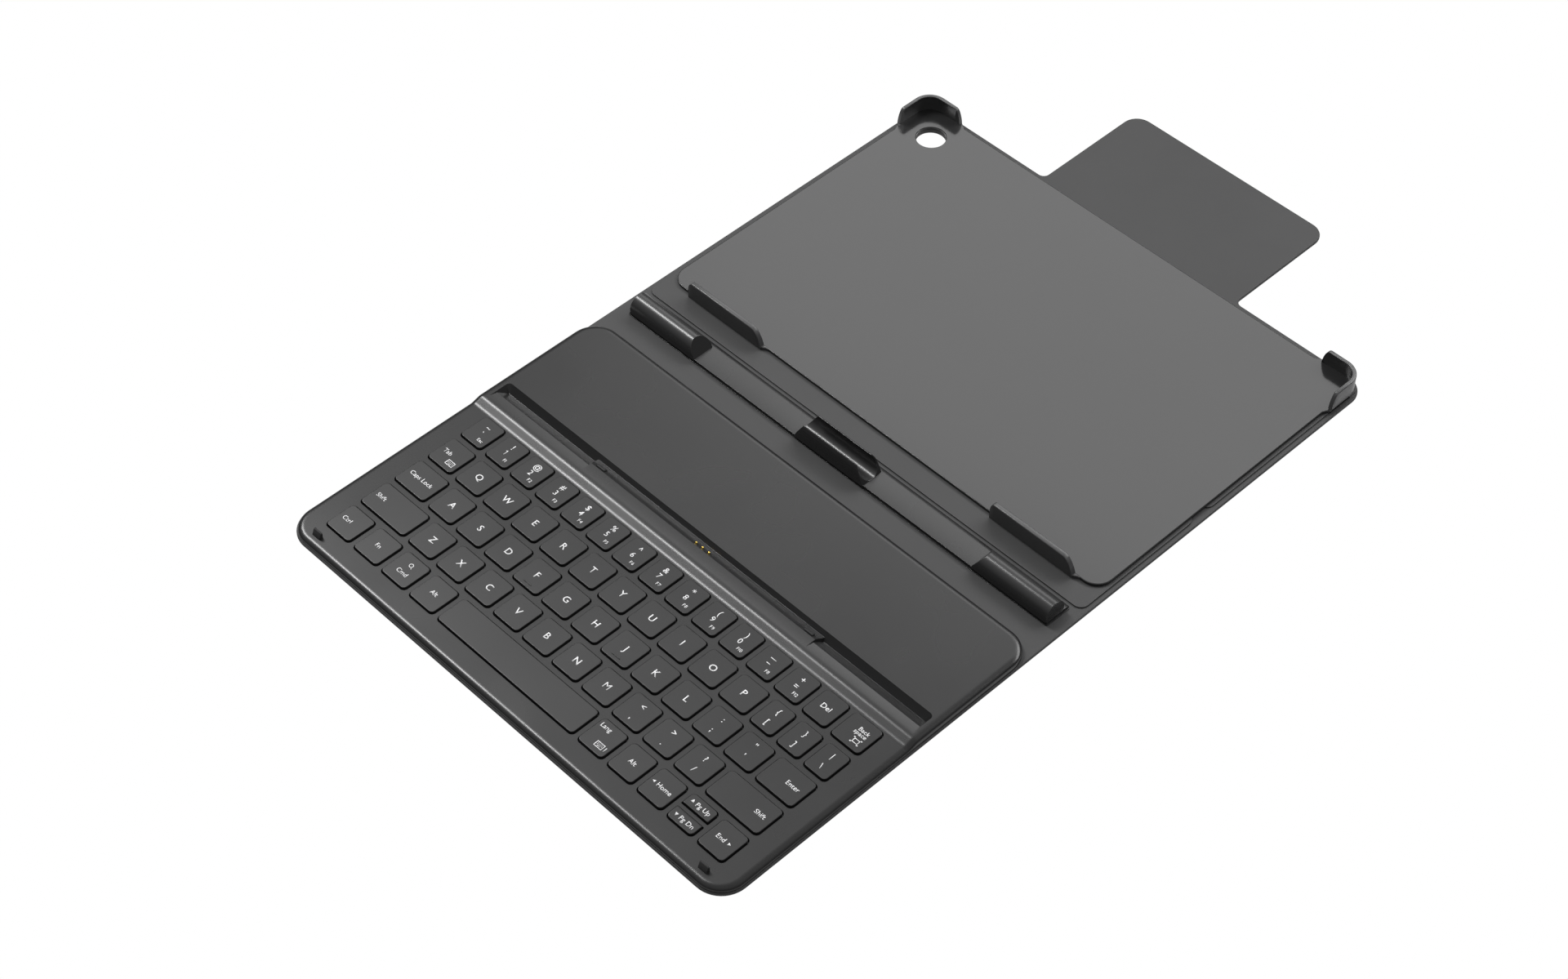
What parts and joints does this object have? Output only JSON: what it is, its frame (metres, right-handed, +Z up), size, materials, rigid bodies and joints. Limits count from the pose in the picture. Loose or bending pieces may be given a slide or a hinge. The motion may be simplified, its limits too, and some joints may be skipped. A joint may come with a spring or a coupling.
{
  "type": "tablet keyboard case",
  "caption": "Folding folio for a tablet: thin keyboard with a dock groove, spine with a pen holder, and a two-part back with a hooked tray and closing flap.",
  "frame": {"origin": "on the underside of the folio, in the middle of the keyboard half, case lying open and flat", "axes": "+X to the right along the keyboard, +Y from the keyboard's front edge towards the closing flap, +Z up out of the keys"},
  "size_m": [0.254, 0.4334, 0.0112],
  "materials": {
    "skin": "fine-grained soft-touch polyurethane sheet, grey",
    "lining": "fine matte microfibre lining, grey",
    "shell": "satin painted keyboard deck, grey",
    "keycap": "matte key caps, slightly lighter grey",
    "tray": "satin moulded tray, mid grey",
    "rubber": "soft black rubber",
    "dark_plastic": "dark grey moulded plastic",
    "steel": "thin stamped steel sheet",
    "gold": "gold-plated contact",
    "magnet": "nickel-plated magnet",
    "film": "printed polyester film",
    "silicone": "translucent silicone rubber",
    "board": "green solder-masked circuit board",
    "ribbon": "amber polyimide flexible cable"
  },
  "bodies": {
    "keyboard_base": {"skin_keyboard": "skin", "lower_shell": "dark_plastic", "top_shell": "shell", "key_support_plate": "steel", "switch_membrane": "film", "dome_sheet": "silicone", "controller_board": "board", "pogo_cable": "ribbon", "keyboard_ribbon": "ribbon", "pogo_block": "dark_plastic", "dock_magnet_left": "magnet", "dock_magnet_right": "magnet", "base_magnet_left": "magnet", "base_magnet_right": "magnet", "corner_post_left": "rubber", "corner_post_right": "rubber"},
    "spine": {"skin_spine": "skin", "pen_holder": "dark_plastic"},
    "lower_back": {"skin_back_lower": "skin", "lining_back_lower": "lining"},
    "upper_back": {"skin_back_upper": "skin", "lining_back_upper": "lining", "tablet_tray": "tray"},
    "flap_bridge": {"skin_flap_bridge": "skin"},
    "flap_tip": {"skin_flap_tip": "skin", "flap_lining": "lining", "flap_magnet_left": "magnet", "flap_magnet_right": "magnet"},
    "key_ctrl": {"key_ctrl": "keycap"},
    "key_fn": {"key_fn": "keycap"},
    "key_cmd": {"key_cmd": "keycap"},
    "key_alt_left": {"key_alt_left": "keycap"},
    "key_space": {"key_space": "keycap"},
    "key_lang": {"key_lang": "keycap"},
    "key_alt_right": {"key_alt_right": "keycap"},
    "key_home": {"key_home": "keycap"},
    "key_page_up": {"key_page_up": "keycap"},
    "key_page_down": {"key_page_down": "keycap"},
    "key_end": {"key_end": "keycap"},
    "key_shift_left": {"key_shift_left": "keycap"},
    "key_shift_right": {"key_shift_right": "keycap"},
    "key_caps_lock": {"key_caps_lock": "keycap"},
    "key_enter": {"key_enter": "keycap"},
    "key_tab": {"key_tab": "keycap"},
    "key_backslash": {"key_backslash": "keycap"},
    "key_esc": {"key_esc": "keycap"},
    "key_del": {"key_del": "keycap"},
    "key_backspace": {"key_backspace": "keycap"},
    "key_bank_lower": {"key_bank_lower": "keycap"},
    "key_bank_home": {"key_bank_home": "keycap"},
    "key_bank_upper": {"key_bank_upper": "keycap"},
    "key_bank_numbers": {"key_bank_numbers": "keycap"},
    "pogo_pin_1": {"pogo_pin_1": "gold"},
    "pogo_pin_2": {"pogo_pin_2": "gold"},
    "pogo_pin_3": {"pogo_pin_3": "gold"}
  },
  "joints": [
    {"name": "back_hinge", "type": "hinge", "parent": "keyboard_base", "child": "spine", "pos_m": [0, 0.09575, 0.0015], "axis": [1, 0, 0], "range_deg": [0, 90]},
    {"name": "cover_hinge", "type": "hinge", "parent": "spine", "child": "lower_back", "pos_m": [0, 0.11075, 0.0015], "axis": [1, 0, 0], "range_deg": [0, 90]},
    {"name": "easel_fold", "type": "hinge", "parent": "lower_back", "child": "upper_back", "pos_m": [0, 0.1835, 0], "axis": [1, 0, 0], "range_deg": [-65, 0]},
    {"name": "flap_hinge", "type": "hinge", "parent": "upper_back", "child": "flap_bridge", "pos_m": [0, 0.292, 0.0015], "axis": [1, 0, 0], "range_deg": [0, 90]},
    {"name": "flap_tip_hinge", "type": "hinge", "parent": "flap_bridge", "child": "flap_tip", "pos_m": [0, 0.3092, 0.0015], "axis": [1, 0, 0], "range_deg": [0, 90]},
    {"name": "key_ctrl_press", "type": "slide", "parent": "keyboard_base", "child": "key_ctrl", "axis": [0, 0, -1], "range_m": [0, 0.0009], "stiffness_N_per_m": 600},
    {"name": "key_fn_press", "type": "slide", "parent": "keyboard_base", "child": "key_fn", "axis": [0, 0, -1], "range_m": [0, 0.0009], "stiffness_N_per_m": 600},
    {"name": "key_cmd_press", "type": "slide", "parent": "keyboard_base", "child": "key_cmd", "axis": [0, 0, -1], "range_m": [0, 0.0009], "stiffness_N_per_m": 600},
    {"name": "key_alt_left_press", "type": "slide", "parent": "keyboard_base", "child": "key_alt_left", "axis": [0, 0, -1], "range_m": [0, 0.0009], "stiffness_N_per_m": 600},
    {"name": "key_space_press", "type": "slide", "parent": "keyboard_base", "child": "key_space", "axis": [0, 0, -1], "range_m": [0, 0.0009], "stiffness_N_per_m": 600},
    {"name": "key_lang_press", "type": "slide", "parent": "keyboard_base", "child": "key_lang", "axis": [0, 0, -1], "range_m": [0, 0.0009], "stiffness_N_per_m": 600},
    {"name": "key_alt_right_press", "type": "slide", "parent": "keyboard_base", "child": "key_alt_right", "axis": [0, 0, -1], "range_m": [0, 0.0009], "stiffness_N_per_m": 600},
    {"name": "key_home_press", "type": "slide", "parent": "keyboard_base", "child": "key_home", "axis": [0, 0, -1], "range_m": [0, 0.0009], "stiffness_N_per_m": 600},
    {"name": "key_page_up_press", "type": "slide", "parent": "keyboard_base", "child": "key_page_up", "axis": [0, 0, -1], "range_m": [0, 0.0009], "stiffness_N_per_m": 600},
    {"name": "key_page_down_press", "type": "slide", "parent": "keyboard_base", "child": "key_page_down", "axis": [0, 0, -1], "range_m": [0, 0.0009], "stiffness_N_per_m": 600},
    {"name": "key_end_press", "type": "slide", "parent": "keyboard_base", "child": "key_end", "axis": [0, 0, -1], "range_m": [0, 0.0009], "stiffness_N_per_m": 600},
    {"name": "key_shift_left_press", "type": "slide", "parent": "keyboard_base", "child": "key_shift_left", "axis": [0, 0, -1], "range_m": [0, 0.0009], "stiffness_N_per_m": 600},
    {"name": "key_shift_right_press", "type": "slide", "parent": "keyboard_base", "child": "key_shift_right", "axis": [0, 0, -1], "range_m": [0, 0.0009], "stiffness_N_per_m": 600},
    {"name": "key_caps_lock_press", "type": "slide", "parent": "keyboard_base", "child": "key_caps_lock", "axis": [0, 0, -1], "range_m": [0, 0.0009], "stiffness_N_per_m": 600},
    {"name": "key_enter_press", "type": "slide", "parent": "keyboard_base", "child": "key_enter", "axis": [0, 0, -1], "range_m": [0, 0.0009], "stiffness_N_per_m": 600},
    {"name": "key_tab_press", "type": "slide", "parent": "keyboard_base", "child": "key_tab", "axis": [0, 0, -1], "range_m": [0, 0.0009], "stiffness_N_per_m": 600},
    {"name": "key_backslash_press", "type": "slide", "parent": "keyboard_base", "child": "key_backslash", "axis": [0, 0, -1], "range_m": [0, 0.0009], "stiffness_N_per_m": 600},
    {"name": "key_esc_press", "type": "slide", "parent": "keyboard_base", "child": "key_esc", "axis": [0, 0, -1], "range_m": [0, 0.0009], "stiffness_N_per_m": 600},
    {"name": "key_del_press", "type": "slide", "parent": "keyboard_base", "child": "key_del", "axis": [0, 0, -1], "range_m": [0, 0.0009], "stiffness_N_per_m": 600},
    {"name": "key_backspace_press", "type": "slide", "parent": "keyboard_base", "child": "key_backspace", "axis": [0, 0, -1], "range_m": [0, 0.0009], "stiffness_N_per_m": 600},
    {"name": "key_bank_lower_press", "type": "slide", "parent": "keyboard_base", "child": "key_bank_lower", "axis": [0, 0, -1], "range_m": [0, 0.0009], "stiffness_N_per_m": 600},
    {"name": "key_bank_home_press", "type": "slide", "parent": "keyboard_base", "child": "key_bank_home", "axis": [0, 0, -1], "range_m": [0, 0.0009], "stiffness_N_per_m": 600},
    {"name": "key_bank_upper_press", "type": "slide", "parent": "keyboard_base", "child": "key_bank_upper", "axis": [0, 0, -1], "range_m": [0, 0.0009], "stiffness_N_per_m": 600},
    {"name": "key_bank_numbers_press", "type": "slide", "parent": "keyboard_base", "child": "key_bank_numbers", "axis": [0, 0, -1], "range_m": [0, 0.0009], "stiffness_N_per_m": 600},
    {"name": "pogo_pin_1_spring", "type": "slide", "parent": "keyboard_base", "child": "pogo_pin_1", "axis": [0, -0.389, -0.9212], "range_m": [0, 0.0005], "stiffness_N_per_m": 400},
    {"name": "pogo_pin_2_spring", "type": "slide", "parent": "keyboard_base", "child": "pogo_pin_2", "axis": [0, -0.389, -0.9212], "range_m": [0, 0.0005], "stiffness_N_per_m": 400},
    {"name": "pogo_pin_3_spring", "type": "slide", "parent": "keyboard_base", "child": "pogo_pin_3", "axis": [0, -0.389, -0.9212], "range_m": [0, 0.0005], "stiffness_N_per_m": 400}
  ]
}
